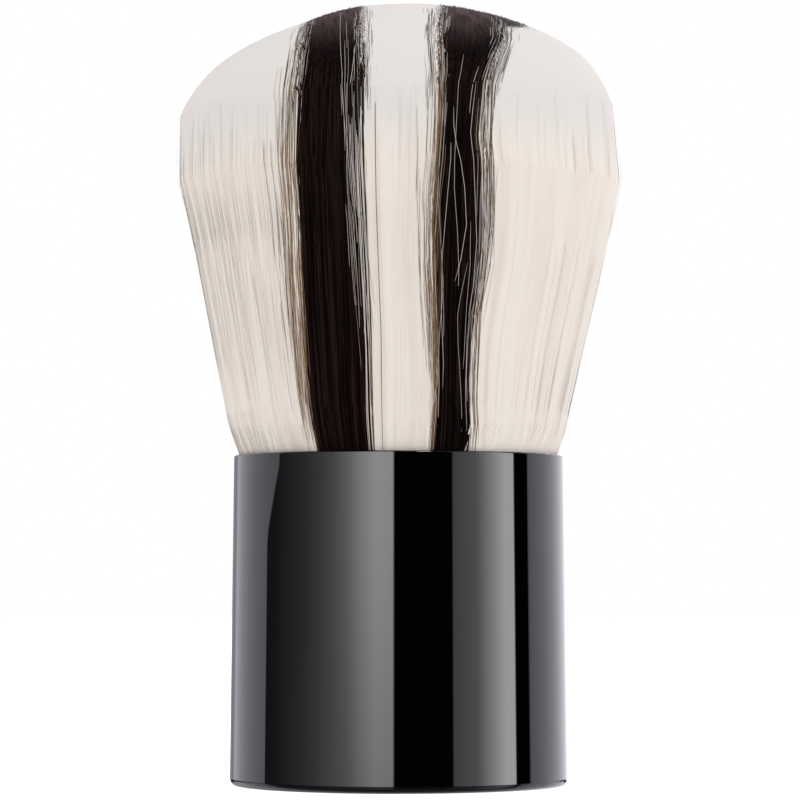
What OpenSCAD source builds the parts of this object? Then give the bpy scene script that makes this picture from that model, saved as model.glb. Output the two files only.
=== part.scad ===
// Kabuki brush: a short, wide head of striped hair in a black lacquered metal shell.
// The origin is the centre of the base, +Z points to the hair tips and -Y is the front.

/* [Handle shell] */
// Outer diameter of the shell at its base
base_d = 33.4; // [30:0.2:36]
// How much narrower the shell is at its rim than at its base
rim_taper = 0.7; // [0:0.1:1]
// Height of the shell, from the base to the rim
shell_h = 32.5; // [30:0.5:38]
// Thickness of the shell's drawn wall
wall_t = 0.5; // [0.3:0.05:0.7]
// Thickness of the shell's floor
floor_t = 1; // [0.8:0.1:1.5]
// Radius of the rounded edge between the wall and the base
base_edge_r = 0.7; // [0.4:0.1:1.2]
// Radius of the polished edges of the rim
lip_r = 0.15; // [0.1:0.01:0.15]
// Width of the ring that the shell stands on
stand_ring_w = 2.2; // [1.5:0.1:5]
// Depth of the dish inside the standing ring
dish_depth = 0.3; // [0.1:0.1:0.5]

/* [Ballast] */
// Thickness of the steel ballast disc
ballast_t = 7; // [4:0.5:8]
// Chamfer on the ballast disc's edges
ballast_chamfer = 0.6; // [0.3:0.1:1.5]
// Clearance between the ballast disc and the shell's wall
ballast_gap = 0.3; // [0.2:0.05:1]

/* [Insert collar] */
// Thickness of the collar's floor
collar_floor_t = 1.5; // [1:0.1:2.5]
// Thickness of the sleeve between the cup and the ribs
sleeve_t = 0.95; // [0.9:0.05:1.3]
// Number of ribs that centre the collar in the shell
rib_count = 12; // [6:1:24]
// Width of each rib
rib_w = 1.6; // [1:0.1:3]
// Height of each rib above the collar's sleeve
rib_h = 0.3; // [0.2:0.05:0.35]
// Fitting gap between the ribs and the shell's wall
rib_gap = 0.04; // [0.02:0.01:0.1]

/* [Hair cup] */
// Thickness of the cup's wall
cup_wall_t = 0.35; // [0.3:0.05:0.45]
// Depth of the cup's rim below the shell's rim
cup_depth = 4.8; // [4:0.1:6]
// Radius of the bend between the cup's wall and its flange
cup_bend_r = 0.5; // [0.45:0.05:0.7]
// Gap between the cup's flange, which sits on the collar, and the shell's wall
flange_gap = 0.25; // [0.1:0.05:0.3]
// Fitting gap between the cup and the collar
cup_gap = 0.1; // [0.04:0.01:0.15]

/* [Resin and binding] */
// Height of the resin that bonds the roots
resin_h = 7; // [5:0.5:8]
// Thickness of the resin below the roots
resin_floor_t = 1.5; // [1:0.1:2.5]
// Thickness of the resin skin round the roots
resin_skin_t = 0.5; // [0.3:0.05:0.8]
// Film between the resin and what it bonds
bond_gap = 0.04; // [0.02:0.01:0.08]
// Gap between the roots and the cup's wall above the resin
root_gap = 0.1; // [0.05:0.05:0.2]
// Diameter of the thread that binds the bundle
thread_d = 0.6; // [0.4:0.05:0.8]
// Number of turns of the binding thread
thread_turns = 3; // [2:1:4]

/* [Hair head] */
// Height of the whole brush, from the base to the highest tips
overall_h = 77.4; // [75:0.2:80]
// Diameter of the head where it is widest
head_d = 43.8; // [42:0.2:45]
// Angle at which the hair leaves the shell's rim, from vertical
mouth_angle = 19.5; // [18:0.5:22]
// Height above the rim over which the hair keeps that angle
mouth_h = 2.6; // [2:0.1:4]
// Angle at which the head widens above that, from vertical
flare_angle = 12; // [11:0.5:14]
// Angle at which the outer hair leans inwards above the widest place
lean_angle = 2.5; // [1:0.5:5]
// Radius of the trimmed dome
dome_r = 34.8; // [30:0.2:38]
// Sideways shift of the dome's middle from the brush's axis
dome_shift = 0.7; // [0:0.1:1.5]
// Extra drop of the tips at the dome's edge
shoulder_drop = 2.9; // [1:0.1:4]
// Gap between the outer hair and the shell's rim
hair_gap = 0.1; // [0.05:0.05:0.3]
// Depth of the furrows between the locks at the tips
furrow_depth = 0.3; // [0.1:0.05:0.5]
// Unevenness of the trimmed tips
tip_unevenness = 0.18; // [0:0.02:0.3]

/* [Stripes] */
// Distance of the left black stripe from the brush's axis, at the rim
left_black_offset = 2.5; // [1.5:0.1:3.5]
// Width of the left black stripe at the rim
left_black_w = 4.9; // [3:0.1:6]
// Distance of the right black stripe from the brush's axis, at the rim
right_black_offset = 2.75; // [1.5:0.05:3.5]
// Width of the right black stripe at the rim
right_black_w = 3.4; // [2:0.1:5]
// Extra width of the right black stripe at the middle of the brush
right_black_swell = 1.9; // [0:0.1:2.5]
// Parting between two bundles
parting = 0.1; // [0.06:0.02:0.2]

/* [Hidden] */
$fn = 96;

// How far a cut runs past the face that it opens
over = 1;

// Radii of the shell
base_r = base_d / 2;
rim_r = base_r - rim_taper / 2;
rim_inner_r = rim_r - wall_t;
inner_edge_r = 0.4;

// Heights of what stands in the shell, from the bottom up
collar_z = floor_t + ballast_t;
cup_z = collar_z + collar_floor_t;
cup_top_z = shell_h - cup_depth;
resin_z = cup_z + cup_wall_t + bond_gap;
resin_top_z = resin_z + resin_h;
root_z = resin_z + resin_floor_t + bond_gap;

// Radii of the cup, from the shell's wall inwards, and of what stands in it
flange_r = room_r(cup_top_z) - flange_gap;
sleeve_r = room_r(cup_top_z) - rib_gap - rib_h;
cup_outer_r = sleeve_r - sleeve_t - cup_gap;
cup_r = cup_outer_r - cup_wall_t;
resin_r = cup_r - bond_gap;
bonded_r = resin_r - resin_skin_t - bond_gap;
packed_r = cup_r - root_gap;
mouth_r = rim_inner_r - hair_gap;

// The waist that the thread pulls into the bundle. Its turns overlap, so they lie as one band.
turn_overlap = 0.1;
thread_pitch = thread_d * (1 - turn_overlap);
waist_margin = 0.1;
waist_h = thread_pitch * (thread_turns - 1) + thread_d + 2 * waist_margin;
waist_step_h = 0.7;
waist_depth = 0.35;
waist_r = packed_r - thread_d - waist_depth;
bonded_top_z = resin_top_z + 0.2;
waist_z = bonded_top_z + 0.8;
thread_ring_r = waist_r + thread_d / 2 + bond_gap;

// Radius of the bundle inside the shell, by height
root_steps = [
    [root_z, bonded_r],
    [bonded_top_z, bonded_r],
    [waist_z, waist_r],
    [waist_z + waist_h, waist_r],
    [waist_z + waist_h + waist_step_h, packed_r],
    [cup_top_z, packed_r],
    [shell_h, mouth_r]
];

// The three straight stretches of the head's outline, and how softly each runs into the next
mouth_top_z = shell_h + mouth_h;
mouth_top_r = mouth_r + mouth_h * tan(mouth_angle);
widest_r = head_d / 2;
widest_z = mouth_top_z + (widest_r - mouth_top_r) / tan(flare_angle);
mouth_blend = 0.2;
widest_blend = 0.2;

// Angles from the front at which the stripes' edges meet the outside, from left to right
edge_angles = [
    asin((-left_black_offset - left_black_w) / mouth_r),
    asin(-left_black_offset / mouth_r),
    asin(right_black_offset / mouth_r),
    asin((right_black_offset + right_black_w) / mouth_r)
];

// Sideways swell of the hair at the middle of the brush, as a share of the radius, by angle
swell_steps = [[edge_angles[2], 0], [edge_angles[3], right_black_swell / mouth_r], [90, 0]];

// How finely the head is divided
lock_angle = 2.5;
row_count = 14;
flare_shares = [0.16, 0.32, 0.48, 0.63, 0.74, 0.8, 0.9, 1];

function mix(a, b, share) = a + (b - a) * share;
function soft_min(a, b, blend) = (a + b - sqrt(pow(a - b, 2) + pow(blend, 2))) / 2;
function smooth_share(x) = let(s = min(1, max(0, x))) s * s * (3 - 2 * s);

// A repeatable scatter from -1 to 1 for a place in the bundle
function scatter(u, v) =
    let(raw = sin(u * 4127.3 + v * 3119.7) * 4375.85)
    2 * (raw - floor(raw)) - 1;

// Outer radius of the shell and of the room inside it, by height
function shell_r(z) = mix(base_r, rim_r, z / shell_h);
function room_r(z) = shell_r(z) - wall_t;

// Outer radius of the hair, by height
function mouth_line(z) = mouth_r + (z - shell_h) * tan(mouth_angle);
function flare_line(z) = mouth_top_r + (z - mouth_top_z) * tan(flare_angle);
function lean_line(z) = widest_r - (z - widest_z) * tan(lean_angle);
function hair_r(z) =
    z < shell_h
        ? lookup(z, root_steps)
        : soft_min(soft_min(mouth_line(z), flare_line(z), mouth_blend), lean_line(z), widest_blend);

// Height of the trimmed tip of the hair at a place in the bundle, where u and v run from -1 to 1
function tip_z(u, v) =
    let(away = norm([u * widest_r - dome_shift, v * widest_r]))
    overall_h - dome_r + sqrt(pow(dome_r, 2) - pow(away, 2))
        - shoulder_drop * pow(u * u + v * v, 7)
        - tip_unevenness * (1 + scatter(u, v)) / 2;

// Columns of hair between two angles, as [angle, way from the parting, furrow]. The furrows keep
// to one grid of angles, so the locks run on from one bundle to the next.
function hair_columns(from_angle, to_angle) = concat(
    [[from_angle, from_angle > -90 ? 1 : 0, 0]],
    [for (k = [ceil(from_angle / lock_angle + 0.6) : floor(to_angle / lock_angle - 0.6)])
        [k * lock_angle, 0, abs(k % 2)]],
    [[to_angle, to_angle < 90 ? -1 : 0, 0]]
);

// Place of a row in a column, as shares of the radius: row 0 is at the front, the last at the back
function across(column, row) =
    sin(column[0]) + lookup(column[0], swell_steps) * pow(cos(column[0]) * sin(180 * row / row_count), 2);
function deep(column, row) = -cos(column[0]) * cos(180 * row / row_count);

// Depth of the furrow at a place, from none at the rim to the full depth at the widest place
function furrow(column, row, z) =
    row % row_count > 0 ? 0
        : column[2] * furrow_depth * (0.6 + 0.4 * scatter(column[0], row))
            * smooth_share((z - shell_h) / (widest_z - shell_h));

// Point of a hair at a height
function hair_point(column, row, z) =
    let(r = hair_r(z) - furrow(column, row, z))
    [across(column, row) * r + column[1] * parting / 2, deep(column, row) * r, z];

function hair_tip_z(column, row) = tip_z(across(column, row), deep(column, row));

// One bundle between two angles: rings up its sides, then a grid of tips over its dome
module hair_bundle(from_angle, to_angle) {
    columns = hair_columns(from_angle, to_angle);
    end = len(columns) - 1;
    left_point = from_angle <= -90;
    right_point = to_angle >= 90;

    // Outline, counter-clockwise from above: front, right edge, back, left edge
    outline = concat(
        [for (c = [0 : end]) [c, 0]],
        [for (r = right_point ? [] : [1 : row_count]) [end, r]],
        [for (c = [end - 1 : -1 : left_point ? 1 : 0]) [c, row_count]],
        [for (r = left_point ? [] : [row_count - 1 : -1 : 1]) [0, r]]
    );
    count = len(outline);
    low_z = concat([for (step = root_steps) step[0]], [mouth_top_z]);
    sides = [for (z = low_z) for (o = outline) hair_point(columns[o[0]], o[1], z)];
    flare = [for (share = flare_shares) for (o = outline)
        let(column = columns[o[0]])
        hair_point(column, o[1], mix(mouth_top_z, hair_tip_z(column, o[1]), share))];
    dome = [for (c = [1 : end - 1]) for (r = [1 : row_count - 1])
        hair_point(columns[c], r, hair_tip_z(columns[c], r))];

    // Walls between the rings
    last_ring = len(low_z) + len(flare_shares) - 1;
    walls = [for (ring = [0 : last_ring - 1]) for (k = [0 : count - 1])
        let(
            next = (k + 1) % count,
            low = ring * count,
            high = low + count
        )
        each [[low + k, high + k, high + next], [low + k, high + next, low + next]]];

    // Number of the point at a place of the dome, of which the outer ones belong to the last ring
    back_start = end + (right_point ? 0 : row_count);
    function dome_point(c, r) =
        r == 0 ? last_ring * count + c
        : c == end ? last_ring * count + (right_point ? end : end + r)
        : c == 0 && left_point ? last_ring * count
        : r == row_count ? last_ring * count + back_start + end - c
        : c == 0 ? last_ring * count + back_start + end + row_count - r
        : (last_ring + 1) * count + (c - 1) * (row_count - 1) + r - 1;
    crown = [for (c = [0 : end - 1]) for (r = [0 : row_count - 1])
        let(
            front_left = dome_point(c, r),
            back_left = dome_point(c, r + 1),
            back_right = dome_point(c + 1, r + 1),
            front_right = dome_point(c + 1, r)
        )
        each [
            if (front_left != back_left) [front_left, back_left, back_right],
            if (front_right != back_right) [front_left, back_right, front_right]
        ]];
    foot = [[for (k = [1 : count]) k % count]];
    polyhedron(concat(sides, flare, dome), concat(foot, walls, crown));
}

// Quarter of a disc, for the rounded corner of a section; toward gives the corner's quadrant
module corner_disc(r, toward) {
    intersection() {
        circle(r);
        translate([min(0, toward[0] * r), min(0, toward[1] * r)]) square(r);
    }
}

// Half section of a tapered cylinder with rounded edges
module tapered_section(foot_r, top_r, h, foot_edge_r, top_edge_r) {
    polygon([
        [0, 0],
        [foot_r - foot_edge_r, 0],
        [foot_r - foot_edge_r, foot_edge_r],
        [foot_r, foot_edge_r],
        [top_r, h - top_edge_r],
        [top_r - top_edge_r, h - top_edge_r],
        [top_r - top_edge_r, h],
        [0, h]
    ]);
    translate([foot_r - foot_edge_r, foot_edge_r]) corner_disc(foot_edge_r, [1, -1]);
    translate([top_r - top_edge_r, h - top_edge_r]) corner_disc(top_edge_r, [1, 1]);
}

// Black lacquered shell: one drawn cup with a rounded base edge and a dished underside
module handle_shell() {
    color([0.02, 0.02, 0.022])
    difference() {
        rotate_extrude()
        difference() {
            tapered_section(base_r, rim_r, shell_h, base_edge_r, lip_r);
            room_section();
            translate([rim_inner_r, shell_h - lip_r])
            difference() {
                square([lip_r, 2 * lip_r]);
                translate([lip_r, 0]) circle(lip_r);
            }
        }
        translate([0, 0, -over])
        cylinder(h = over + dish_depth, r = base_r - base_edge_r - stand_ring_w);
    }
}

// Half section of the room inside the shell, open at the rim
module room_section() {
    foot_r = room_r(floor_t);
    polygon([
        [0, floor_t],
        [foot_r - inner_edge_r, floor_t],
        [foot_r - inner_edge_r, floor_t + inner_edge_r],
        [foot_r, floor_t + inner_edge_r],
        [rim_inner_r, shell_h],
        [rim_inner_r, shell_h + over],
        [0, shell_h + over]
    ]);
    translate([foot_r - inner_edge_r, floor_t + inner_edge_r]) corner_disc(inner_edge_r, [1, -1]);
}

// Steel disc on the shell's floor, which keeps the brush upright
module ballast_disc() {
    r = room_r(collar_z) - ballast_gap;
    color([0.55, 0.56, 0.58])
    translate([0, 0, floor_t])
    rotate_extrude()
    polygon([
        [0, 0],
        [r - ballast_chamfer, 0],
        [r, ballast_chamfer],
        [r, ballast_t - ballast_chamfer],
        [r - ballast_chamfer, ballast_t],
        [0, ballast_t]
    ]);
}

// Moulded collar that centres the cup in the shell, with ribs down its outside
module insert_collar() {
    collar_h = cup_top_z - cup_wall_t - collar_z;
    foot_r = room_r(collar_z) - rib_gap;
    top_r = room_r(collar_z + collar_h) - rib_gap;
    bore_r = cup_outer_r + cup_gap;
    bend_relief = cup_bend_r + cup_gap;
    color([0.12, 0.12, 0.13])
    difference() {
        translate([0, 0, collar_z])
        union() {
            cylinder(h = collar_h, r1 = foot_r - rib_h, r2 = top_r - rib_h);
            intersection() {
                cylinder(h = collar_h, r1 = foot_r, r2 = top_r);
                for (k = [0 : rib_count - 1])
                rotate((k + 0.5) * 360 / rib_count)
                translate([bore_r, -rib_w / 2, 0])
                cube([base_r, rib_w, collar_h]);
            }
        }
        translate([0, 0, cup_z])
        cylinder(h = collar_h, r = bore_r);
        translate([0, 0, cup_top_z - cup_wall_t - bend_relief])
        cylinder(h = bend_relief + over, r1 = bore_r, r2 = bore_r + bend_relief + over);
    }
}

// Drawn cup for the hair roots, whose flange sits on the collar
module hair_cup() {
    floor_edge_r = 1;
    cut_edge_r = 0.5;
    bend_x = cup_r + cup_bend_r;
    bend_z = cup_top_z - cup_bend_r;
    color([0.75, 0.75, 0.76])
    rotate_extrude()
    union() {
        difference() {
            translate([0, cup_z])
            tapered_section(cup_outer_r, cup_outer_r, bend_z - cup_z + over, floor_edge_r, cut_edge_r);
            translate([0, cup_z + cup_wall_t])
            tapered_section(cup_r, cup_r, bend_z - cup_z + 2 * over, floor_edge_r - cup_wall_t, cut_edge_r);
            translate([0, bend_z]) square([base_r, shell_h]);
        }
        translate([bend_x, bend_z])
        difference() {
            corner_disc(cup_bend_r, [-1, 1]);
            circle(cup_bend_r - cup_wall_t);
        }
        translate([bend_x, cup_top_z - cup_wall_t])
        square([flange_r - bend_x, cup_wall_t]);
    }
}

// Cast resin under and round the root ends
module resin_plug() {
    floor_edge_r = 0.7;
    top_edge_r = 0.2;
    color([0.82, 0.68, 0.4])
    translate([0, 0, resin_z])
    difference() {
        rotate_extrude()
        tapered_section(resin_r, resin_r, resin_h, floor_edge_r, top_edge_r);
        translate([0, 0, resin_floor_t])
        cylinder(h = resin_h, r = resin_r - resin_skin_t);
    }
}

// Turns of thread that tie the bundle above the resin
module binding_thread() {
    low_z = waist_z + waist_h / 2 - thread_pitch * (thread_turns - 1) / 2;
    color([0.85, 0.8, 0.7])
    rotate_extrude()
    for (turn = [0 : thread_turns - 1])
    translate([thread_ring_r, low_z + turn * thread_pitch]) circle(d = thread_d, $fn = 24);
}

module white_hair_left() {
    color([0.93, 0.9, 0.85]) hair_bundle(-90, edge_angles[0]);
}

module black_hair_left() {
    color([0.09, 0.065, 0.06]) hair_bundle(edge_angles[0], edge_angles[1]);
}

module white_hair_centre() {
    color([0.93, 0.9, 0.85]) hair_bundle(edge_angles[1], edge_angles[2]);
}

module black_hair_right() {
    color([0.09, 0.065, 0.06]) hair_bundle(edge_angles[2], edge_angles[3]);
}

module white_hair_right() {
    color([0.93, 0.9, 0.85]) hair_bundle(edge_angles[3], 90);
}

handle_shell();
ballast_disc();
insert_collar();
hair_cup();
resin_plug();
binding_thread();
white_hair_left();
black_hair_left();
white_hair_centre();
black_hair_right();
white_hair_right();
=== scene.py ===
"""Kabuki brush: its black lacquered shell, its striped head of hair, and the studio.

The frame gives the shell and the pieces inside it. The hair grows here: each stripe is its solid,
smoothed to the head's form, under separate hairs that leave the rim together, flare and end on the
trimmed dome.
"""

import math
from typing import NamedTuple

import bmesh
import bpy
import numpy as np
from bpy.props import FloatProperty, FloatVectorProperty, IntProperty, PointerProperty
from mathutils import Matrix, Vector


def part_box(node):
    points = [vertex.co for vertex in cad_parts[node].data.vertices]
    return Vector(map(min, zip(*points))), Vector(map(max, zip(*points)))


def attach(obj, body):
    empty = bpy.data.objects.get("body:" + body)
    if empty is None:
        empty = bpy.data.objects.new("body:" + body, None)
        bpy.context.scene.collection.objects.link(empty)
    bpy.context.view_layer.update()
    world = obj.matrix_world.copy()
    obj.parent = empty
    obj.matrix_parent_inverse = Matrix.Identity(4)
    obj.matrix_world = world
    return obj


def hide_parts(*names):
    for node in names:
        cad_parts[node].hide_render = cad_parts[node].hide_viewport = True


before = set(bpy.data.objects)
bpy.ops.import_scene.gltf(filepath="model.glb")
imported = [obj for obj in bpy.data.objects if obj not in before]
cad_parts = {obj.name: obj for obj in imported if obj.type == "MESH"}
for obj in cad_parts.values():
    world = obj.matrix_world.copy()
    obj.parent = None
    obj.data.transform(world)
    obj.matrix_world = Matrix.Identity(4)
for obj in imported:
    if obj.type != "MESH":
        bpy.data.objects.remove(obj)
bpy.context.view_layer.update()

bl_info = {
    "name": "Kabuki brush",
    "version": (1, 0, 0),
    "blender": (4, 5, 0),
    "location": "View3D > Sidebar > Kabuki brush",
    "description": "Finishes the shell, grows the striped hair and sets a kabuki brush's studio",
    "category": "Object",
}

MM = 0.001
BUNDLES = (
    "white_hair_left",
    "black_hair_left",
    "white_hair_centre",
    "black_hair_right",
    "white_hair_right",
)
RIM_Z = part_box("handle_shell")[1][2]


def colour_property(name, description, default):
    """A colour that the panel shows as a swatch, in linear values."""
    look = {"subtype": "COLOR", "size": 3, "min": 0, "max": 1}
    return FloatVectorProperty(name=name, description=description, default=default, **look)


def length_property(name, description, mm):
    """A length, given here in mm."""
    look = {"unit": "LENGTH", "precision": 5}
    return FloatProperty(name=name, description=description, default=mm * MM, **look)


def angle_property(name, description, degrees):
    """An angle, given here in degrees."""
    radians = math.radians(degrees)
    return FloatProperty(name=name, description=description, default=radians, unit="ROTATION")


def share_property(name, description, default):
    """A plain number from 0 to 1."""
    return FloatProperty(name=name, description=description, default=default, min=0, max=1)


def count_property(name, description, default):
    """How many there are of something."""
    return IntProperty(name=name, description=description, default=default, min=100)


class HeadSettings(bpy.types.PropertyGroup):
    """Form of the trimmed head of hair."""

    mouth_r: length_property("Mouth radius", "Radius of the hair at the shell's rim", 15.75)
    mouth_angle: angle_property("Mouth angle", "Lean of the outer hair as it leaves the rim", 19.5)
    mouth_h: length_property("Mouth height", "Height over which the hair keeps that lean", 2.6)
    flare_angle: angle_property("Flare angle", "Lean of the outer hair above the mouth", 12)
    widest_r: length_property("Widest radius", "Radius of the head where it is widest", 21.9)
    lean_angle: angle_property("Lean angle", "Inward lean of the hair above the widest place", 2.5)
    top_z: length_property("Top", "Height of the dome's highest point", 77.4)
    dome_r: length_property("Dome radius", "Radius of the trimmed dome", 34.8)
    dome_shift: length_property("Dome shift", "Sideways shift of the dome's middle", 0.7)
    shoulder_drop: length_property("Shoulder drop", "Extra drop at the dome's edge", 2.9)
    left_black_from: length_property("Left stripe from", "Its left edge at the rim", -7.4)
    left_black_to: length_property("Left stripe to", "Its right edge at the rim", -2.5)
    right_black_from: length_property("Right stripe from", "Its left edge at the rim", 2.75)
    right_black_to: length_property("Right stripe to", "Its right edge at the rim", 6.15)
    right_swell: length_property("Right stripe swell", "Its extra width in the middle", 1.9)
    tip_spread: length_property("Tip spread", "Reach of its tips over the white ones", 1.9)


class HairSettings(bpy.types.PropertyGroup):
    """Number, thickness and combing of the hairs."""

    side_count: count_property("Side hairs", "Hairs round the outside, before thinning", 7500)
    dome_count: count_property("Dome hairs", "Hair ends on the dome, before thinning", 14000)
    width: length_property("Hair width", "Width of one hair", 0.09)
    depth: share_property("Depth", "Depth of the outer hairs, as a share of the radius", 0.0004)
    sway: length_property("Sway", "Sideways wander of a hair between rim and tip", 0.3)
    wave: length_property("Wave", "Size of a hair's slight wave", 0.06)
    unevenness: length_property("Unevenness", "Unevenness of the trimmed tips", 0.03)
    core_drop: length_property("Core drop", "Depth of the core below the side hairs", 0.004)
    roundness: share_property("Roundness", "How round a hair looks beside its neighbours", 0.1)
    flatness: share_property("Flatness", "How flat a long hair lies on the others", 0.85)
    seed: IntProperty(name="Seed", description="Start of the scatter", default=11, min=0)


class ColourSettings(bpy.types.PropertyGroup):
    """Colours of the hair and the shell."""

    white_hair: colour_property("White hair", "Clear colour of the white hair", (0.84, 0.77, 0.71))
    cream_hair: colour_property("Cream hair", "Warmer hairs among the white", (0.77, 0.67, 0.58))
    white_tips: colour_property("White tips", "Cut ends of the white hair", (0.73, 0.69, 0.66))
    black_hair: colour_property("Black hair", "Darkest black hair", (0.002, 0.0008, 0.0008))
    brown_hair: colour_property("Brown hair", "Lighter black hair", (0.019, 0.009, 0.0085))
    # Aubergine near the dome's summit: partly the cut ends' own colour, partly painted sheen
    black_tips: colour_property("Black tips", "Cut ends of the black hair", (0.11, 0.072, 0.074))
    golden_hair: colour_property("Golden hair", "Loose black hairs", (0.33, 0.205, 0.11))
    grey_hair: colour_property("Grey hair", "Loose hairs of the white stripes", (0.25, 0.23, 0.225))
    lacquer: colour_property("Lacquer", "Black lacquer of the shell", (0.0006, 0.0006, 0.0008))


class StageSettings(bpy.types.PropertyGroup):
    """Camera and studio."""

    camera_distance: length_property("Camera distance", "Distance from the brush's axis", 358)
    camera_height: length_property("Camera height", "Camera's height above the base", 20.2)
    aim_height: length_property("Aim height", "Height of the picture's middle", 38.1)
    aim_side: length_property("Aim side", "Sideways place of the picture's middle", 0.13)
    lens: FloatProperty(name="Lens", description="Focal length in mm", default=162.1, min=20)
    floor_r: length_property("Floor radius", "Radius of the floor", 1600)


GROUPS = {
    "kabuki_head": HeadSettings,
    "kabuki_hair": HairSettings,
    "kabuki_colours": ColourSettings,
    "kabuki_stage": StageSettings,
}


class Number:
    """A number in a shader: wraps a socket, so that Math nodes read as plain sums."""

    def __init__(self, shader, socket):
        self.shader = shader
        self.socket = socket

    def math(self, operation, *others):
        """This number and the others through one Math node."""
        return self.shader.math(operation, self, *others)

    def __add__(self, other):
        return self.math("ADD", other)

    def __sub__(self, other):
        return self.math("SUBTRACT", other)

    def __rsub__(self, other):
        return self.shader.math("SUBTRACT", other, self)

    def __mul__(self, other):
        return self.math("MULTIPLY", other)

    def __truediv__(self, other):
        return self.math("DIVIDE", other)

    def __rtruediv__(self, other):
        return self.shader.math("DIVIDE", other, self)

    __radd__, __rmul__ = __add__, __mul__

    def step(self, low, high):
        """0 at low, 1 at high, and a soft step between them; high may be the lower one."""
        rising = high > low
        inputs = {
            "Value": self,
            "From Min": min(low, high),
            "From Max": max(low, high),
            "To Min": 0.0 if rising else 1.0,
            "To Max": 1.0 if rising else 0.0,
        }
        settings = {"interpolation_type": "SMOOTHSTEP"}
        return self.shader.number("ShaderNodeMapRange", 0, settings, inputs)


class Shader:
    """Node tree of one material or world."""

    def __init__(self, owner):
        owner.use_nodes = True
        self.tree = owner.node_tree
        self.tree.nodes.clear()

    def node(self, kind, settings=None, inputs=None):
        """One node: its settings first, then the value or link of each socket."""
        node = self.tree.nodes.new(kind)
        for name, value in (settings or {}).items():
            if name == "stops":
                self.set_stops(node.color_ramp, value)
            else:
                setattr(node, name, value)
        for key, value in (inputs or {}).items():
            if isinstance(value, Number):
                value = value.socket
            if isinstance(value, bpy.types.NodeSocket):
                self.tree.links.new(value, node.inputs[key])
            else:
                node.inputs[key].default_value = value
        return node

    @staticmethod
    def set_stops(ramp, stops):
        """Stops of a ramp, as (place, colour) from left to right."""
        while len(ramp.elements) < len(stops):
            ramp.elements.new(1.0)
        for element, (place, colour) in zip(ramp.elements, stops):
            element.position = place
            element.color = opaque(colour)

    def number(self, kind, output=0, settings=None, inputs=None):
        """A node's output as a number."""
        return Number(self, self.node(kind, settings, inputs).outputs[output])

    def math(self, operation, *numbers):
        """Numbers through one Math node."""
        return self.number("ShaderNodeMath", 0, {"operation": operation}, dict(enumerate(numbers)))

    def colours(self, share, first, second):
        """A mix of two colours."""
        inputs = {"Factor": share, 6: opaque(first), 7: opaque(second)}
        return self.node("ShaderNodeMix", {"data_type": "RGBA"}, inputs).outputs[2]


def opaque(colour):
    """A colour with full alpha, as colour sockets take it. A link stays as it is."""
    return colour if isinstance(colour, bpy.types.NodeSocket) else (*colour, 1.0)


def surface_material(name, base, roughness, metallic=0.0, normal=None, constants=None):
    """A material with one Principled surface.

    base, roughness and normal may be functions that build their part of the shader.
    """
    material = bpy.data.materials.new(name)
    shader = Shader(material)
    colour = opaque(base(shader) if callable(base) else base)
    rough = roughness(shader) if callable(roughness) else roughness
    inputs = {"Base Color": colour, "Roughness": rough, "Metallic": metallic}
    if normal is not None:
        inputs["Normal"] = normal(shader)
    inputs.update(constants or {})
    surface = shader.node("ShaderNodeBsdfPrincipled", {}, inputs)
    shader.node("ShaderNodeOutputMaterial", {}, {"Surface": surface.outputs[0]})
    return material


def coordinates(shader, kind):
    """The three numbers of a texture coordinate."""
    place = shader.node("ShaderNodeTexCoord").outputs[kind]
    parts = shader.node("ShaderNodeSeparateXYZ", {}, {0: place}).outputs
    return [Number(shader, part) for part in parts]


def noise(shader, place, stretch, scale, detail):
    """Noise that follows a place, stretched by its three numbers."""
    mapped = shader.node("ShaderNodeMapping", {}, {"Vector": place, "Scale": stretch}).outputs[0]
    inputs = {"Vector": mapped, "Scale": scale, "Detail": detail}
    return shader.number("ShaderNodeTexNoise", 0, {}, inputs)


def object_noise(shader, scale, detail, stretch=(1, 1, 1)):
    """Noise on the object's own coordinates."""
    place = shader.node("ShaderNodeTexCoord").outputs["Object"]
    return noise(shader, place, stretch, scale, detail)


def hair_number(shader, name):
    """A number that each hair carries with it."""
    return shader.number("ShaderNodeAttribute", "Fac", {"attribute_name": name})


def streaks(shader, aside, back, along):
    """Noise in streaks, from about -0.5 to 0.5.

    aside, back: how fine across the head's radius; along: how fine per metre of height.
    """
    place = shader.node("ShaderNodeAttribute", {"attribute_name": "place"}).outputs["Vector"]
    return noise(shader, place, (aside, back, along), 1.0, 2.0) - 0.5


def white_colour(shader, colours):
    """White hair: soft and pale, with cream streaks in it and paler ends."""
    soft_end = hair_number(shader, "below").step(8.0, 1.5)
    fine, broad = streaks(shader, 150, 150, 40), streaks(shader, 9, 9, 30)
    tone = hair_number(shader, "tone") + fine * 0.6 + broad * 1.6
    cream = tone.step(0.2, 1.0) * (1.0 - soft_end * 0.85)
    body = shader.colours(cream, colours.white_hair, colours.cream_hair)
    ended = shader.colours(soft_end, body, colours.white_tips)
    return shader.colours(hair_number(shader, "loose"), ended, colours.grey_hair)


def black_colour(shader, colours):
    """Black hair: brown-black, with thin golden hairs at its edges and aubergine near the dome's
    summit, partly the cut ends' own colour and partly painted sheen.
    """
    tone = hair_number(shader, "tone") + streaks(shader, 220, 220, 40) * 2.4
    brown = tone.step(0.4, 1.0)
    body = shader.colours(brown, colours.black_hair, colours.brown_hair)
    edged = shader.colours(hair_number(shader, "loose"), body, colours.golden_hair)
    clumps = streaks(shader, 60, 6, 40)
    # Aubergine by height below the summit: the cut ends' own colour, with a painted sheen over the
    # top
    end = hair_number(shader, "summit").step(7.5, 0.0) * (tone * 0.9 + clumps * 2.5 + 0.35)
    return shader.colours(end, edged, colours.black_tips)


# How far black and white hair mingle at the stripes' edges, and how softly a streak ends, in mm
MINGLING, STREAK_EDGE = 3.0, 0.06

HAIR_ROUGHNESS = 0.6
WHITE_GLOSS, BLACK_GLOSS = 0.15, 0.02


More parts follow.
